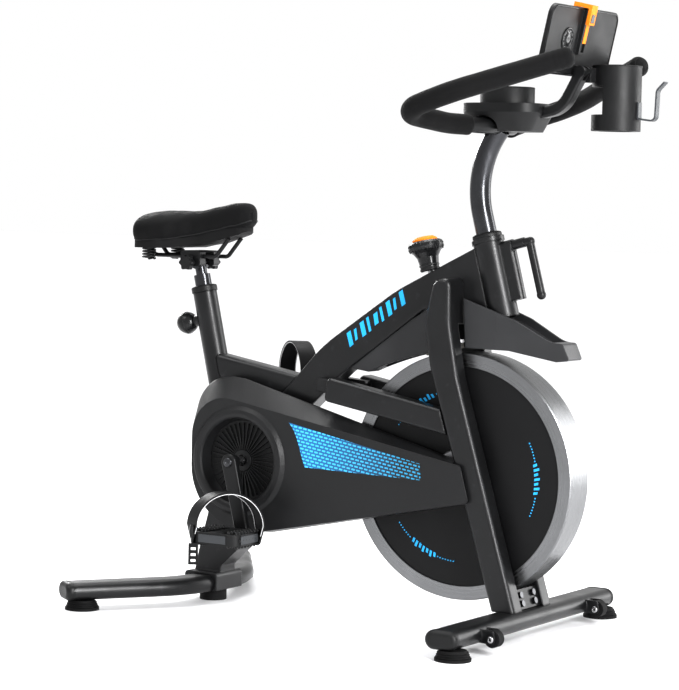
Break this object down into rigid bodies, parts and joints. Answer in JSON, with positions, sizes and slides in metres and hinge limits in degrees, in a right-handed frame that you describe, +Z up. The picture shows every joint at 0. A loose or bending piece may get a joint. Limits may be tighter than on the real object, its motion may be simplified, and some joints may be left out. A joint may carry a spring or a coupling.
{
  "type": "indoor spin bike",
  "caption": "Indoor exercise bike with a belt-driven flywheel, adjustable saddle and handlebar, push brake, tablet holder and bottle ring.",
  "frame": {"origin": "middle of the overall box, on the floor under the levelling feet", "axes": "+X towards the front stabiliser, +Y to the rider's left, +Z up"},
  "size_m": [1.0674, 0.6398, 1.1377],
  "materials": {
    "frame_paint": "satin charcoal powder coat",
    "bright_steel": "turned and brushed steel",
    "post_chrome": "dark chrome tube",
    "hidden_steel": "machined steel",
    "black_metal": "satin black paint",
    "wheel_iron": "painted cast iron",
    "drive_metal": "turned aluminium",
    "casing_plastic": "fine-grained moulded plastic",
    "black_plastic": "moulded black plastic",
    "hook_plastic": "smooth grey plastic",
    "orange_plastic": "smooth orange plastic",
    "black_rubber": "ribbed rubber",
    "grip_foam": "matt foam sleeve",
    "pad_felt": "pressed wool felt",
    "strap_band": "moulded strap with a light edge",
    "saddle_cover": "soft black saddle cover"
  },
  "bodies": {
    "root": {"main_tube": "frame_paint", "top_tube": "frame_paint", "seat_tube": "frame_paint", "head_tube": "frame_paint", "side_bars": "frame_paint", "fork_legs": "frame_paint", "fork_plate": "frame_paint", "plate_bolts": "bright_steel", "rear_leg": "frame_paint", "crank_shell": "frame_paint", "dropout_plates": "frame_paint", "front_stabilizer": "frame_paint", "rear_stabilizer": "frame_paint", "stabilizer_caps": "black_plastic", "levelling_feet": "black_rubber", "casing_cover": "casing_plastic", "casing_back": "casing_plastic", "finned_disc": "black_plastic", "bearings": "hidden_steel", "drive_belt": "black_rubber", "flywheel_axle": "bright_steel", "wheel_shroud": "casing_plastic", "front_fender": "casing_plastic", "brake_sleeve": "hidden_steel", "tube_bushes": "black_plastic"},
    "flywheel": {"flywheel_rim": "bright_steel", "flywheel_web": "wheel_iron", "flywheel_covers": "casing_plastic", "flywheel_pulley": "drive_metal"},
    "crankset": {"crank_spindle": "hidden_steel", "drive_pulley": "drive_metal", "crank_right": "black_metal", "crank_left": "black_metal", "pedal_spindles": "hidden_steel"},
    "right_pedal": {"pedal_right": "black_plastic", "toe_strap_right": "strap_band"},
    "left_pedal": {"pedal_left": "black_plastic", "toe_strap_left": "strap_band"},
    "right_roller": {"transport_wheel_right": "black_rubber"},
    "left_roller": {"transport_wheel_left": "black_rubber"},
    "seat_column": {"seat_post": "post_chrome"},
    "saddle_mount": {"saddle_clamp": "black_metal"},
    "saddle_top": {"saddle_rails": "black_metal", "saddle_base": "black_plastic", "saddle": "saddle_cover"},
    "pull_pin": {"pull_knob": "black_plastic"},
    "handlebar_column": {"handlebar_post": "black_metal", "handlebar": "black_metal", "handlebar_grips": "grip_foam", "console_tray": "black_plastic", "console_stem": "black_metal", "bottle_ring": "black_plastic", "towel_hook": "hook_plastic"},
    "lever": {"clamp_lever": "black_metal"},
    "brake": {"brake_rod": "hidden_steel", "brake_pad": "pad_felt"},
    "knob": {"resistance_knob": "black_plastic", "resistance_cap": "orange_plastic"},
    "tablet_holder": {"tablet_plate": "black_plastic"},
    "holder_clip": {"tablet_clip": "orange_plastic"}
  },
  "joints": [
    {"name": "flywheel_spin", "type": "hinge", "parent": "root", "child": "flywheel", "pos_m": [0.19225, 0, 0.284], "axis": [0, 1, 0], "continuous": true},
    {"name": "crank_spin", "type": "hinge", "parent": "root", "child": "crankset", "pos_m": [-0.25575, 0, 0.283], "axis": [0, 1, 0], "continuous": true},
    {"name": "right_pedal_spin", "type": "hinge", "parent": "crankset", "child": "right_pedal", "pos_m": [-0.22285, -0.171, 0.15104], "axis": [0, 1, 0], "continuous": true},
    {"name": "left_pedal_spin", "type": "hinge", "parent": "crankset", "child": "left_pedal", "pos_m": [-0.28865, 0.171, 0.41496], "axis": [0, 1, 0], "continuous": true},
    {"name": "right_roller_spin", "type": "hinge", "parent": "root", "child": "right_roller", "pos_m": [0.36225, -0.205, 0.03], "axis": [0, 1, 0], "continuous": true},
    {"name": "left_roller_spin", "type": "hinge", "parent": "root", "child": "left_roller", "pos_m": [0.36225, 0.205, 0.03], "axis": [0, 1, 0], "continuous": true},
    {"name": "seat_height", "type": "slide", "parent": "root", "child": "seat_column", "axis": [-0.2284, 0, 0.9736], "range_m": [0, 0.12]},
    {"name": "saddle_tilt", "type": "hinge", "parent": "seat_column", "child": "saddle_mount", "pos_m": [-0.41112, 0, 0.652], "axis": [0, 1, 0], "range_deg": [-8, 8]},
    {"name": "saddle_shift", "type": "slide", "parent": "saddle_mount", "child": "saddle_top", "axis": [1, 0, 0], "range_m": [-0.02, 0.02]},
    {"name": "pin_pull", "type": "slide", "parent": "root", "child": "pull_pin", "axis": [-0.9736, 0, -0.2284], "range_m": [0, 0.012], "stiffness_N_per_m": 900, "springref_m": -0.006},
    {"name": "handlebar_height", "type": "slide", "parent": "root", "child": "handlebar_column", "axis": [-0.2588, 0, 0.9659], "range_m": [0, 0.07]},
    {"name": "lever_turn", "type": "hinge", "parent": "root", "child": "lever", "pos_m": [0.2641, 0, 0.70317], "axis": [0.9659, 0, 0.2588], "range_deg": [-80, 80]},
    {"name": "brake_push", "type": "slide", "parent": "root", "child": "brake", "axis": [0.2368, 0, -0.9715], "range_m": [0, 0.0056], "stiffness_N_per_m": 2500, "springref_m": -0.005},
    {"name": "knob_turn", "type": "hinge", "parent": "brake", "child": "knob", "pos_m": [0.09752, 0, 0.67262], "axis": [-0.2368, 0, 0.9715], "range_deg": [0, 1080]},
    {"name": "tablet_tilt", "type": "hinge", "parent": "handlebar_column", "child": "tablet_holder", "pos_m": [0.40028, 0, 1.01452], "axis": [0, 1, 0], "range_deg": [-9, 12]},
    {"name": "clip_slide", "type": "slide", "parent": "tablet_holder", "child": "holder_clip", "axis": [0.2164, 0, 0.9763], "range_m": [0, 0.04], "stiffness_N_per_m": 120, "springref_m": -0.01}
  ],
  "couplings": [
    {"joint": "crank_spin", "follows": "flywheel_spin", "ratio": 0.20833}
  ]
}
